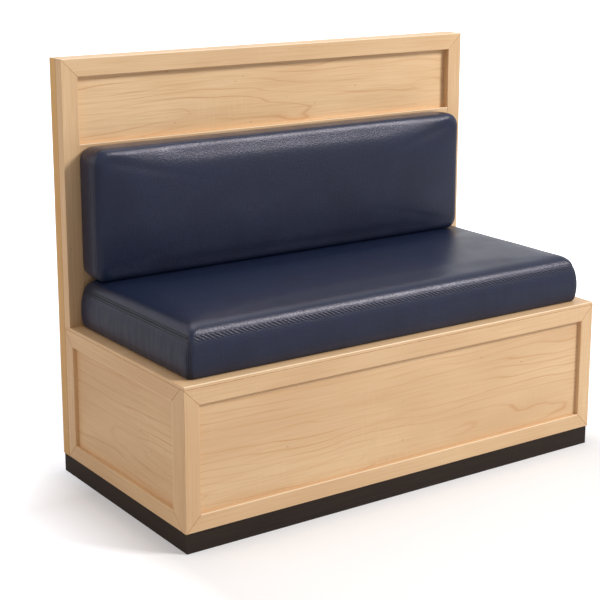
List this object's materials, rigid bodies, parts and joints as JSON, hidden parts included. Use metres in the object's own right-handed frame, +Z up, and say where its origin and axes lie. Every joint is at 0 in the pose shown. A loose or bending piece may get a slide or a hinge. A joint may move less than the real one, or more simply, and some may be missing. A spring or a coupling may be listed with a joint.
{
  "type": "restaurant booth seat",
  "caption": "Single-sided restaurant booth with a framed and panelled box base and high back, a recessed dark plinth, a slide-out seat cushion and a lift-off back cushion.",
  "frame": {"origin": "on the floor under the middle of the booth's width and depth", "axes": "+X to the right of someone facing the booth, -Y out of its front, +Z up"},
  "size_m": [1.22, 0.606, 1.036],
  "materials": {
    "maple": "clear satin lacquer on solid maple and maple veneer",
    "plywood": "bare birch plywood",
    "softwood": "bare planed softwood",
    "dark_plinth": "dark brown-black matt lacquer",
    "leather": "navy leather with a soft sheen",
    "foam": "upholstery foam",
    "dust_cloth": "black non-woven cloth",
    "steel": "zinc-plated steel"
  },
  "bodies": {
    "booth_frame": {"back_skin": "maple", "back_studs": "softwood", "box_corner_battens": "softwood", "box_dividers": "plywood", "box_floor": "plywood", "box_front_board": "plywood", "box_side_left": "plywood", "box_side_right": "plywood", "deck_cap": "maple", "deck_screws": "steel", "face_bottom_rail": "maple", "face_mid_rail": "maple", "face_stile_left": "maple", "face_stile_right": "maple", "face_top_rail": "maple", "front_bottom_rail": "maple", "front_left_stile": "maple", "front_panel": "maple", "front_right_stile": "maple", "front_top_rail": "maple", "left_bottom_rail": "maple", "left_front_stile": "maple", "left_panel": "maple", "left_rear_stile": "maple", "left_top_rail": "maple", "lower_back_panel": "maple", "plinth_corner_blocks": "softwood", "plinth_crossers": "softwood", "plinth_front": "dark_plinth", "plinth_left": "dark_plinth", "plinth_rear": "dark_plinth", "plinth_right": "dark_plinth", "plinth_screws": "steel", "post_screws": "steel", "rear_bottom_rail": "maple", "rear_deck_rail": "softwood", "rear_post_left": "maple", "rear_post_right": "maple", "rear_top_rail": "maple", "right_bottom_rail": "maple", "right_front_stile": "maple", "right_panel": "maple", "right_rear_stile": "maple", "right_top_rail": "maple", "seat_subdeck": "plywood", "upper_back_panel": "maple", "wall_cleat": "plywood", "wall_cleat_screws": "steel"},
    "seat_cushion": {"seat_cover": "leather", "seat_foam": "foam", "seat_board": "plywood", "seat_dust_cloth": "dust_cloth"},
    "back_cushion": {"back_cover": "leather", "back_foam": "foam", "back_board": "plywood", "back_dust_cloth": "dust_cloth", "cushion_cleat": "plywood", "cushion_cleat_screws": "steel"}
  },
  "joints": [
    {"name": "seat_cushion_slide", "type": "slide", "parent": "booth_frame", "child": "seat_cushion", "axis": [0, -1, 0], "range_m": [0, 0.5]},
    {"name": "back_cushion_liftoff", "type": "slide", "parent": "booth_frame", "child": "back_cushion", "axis": [0, -0.7071, 0.7071], "range_m": [0, 0.15]}
  ]
}
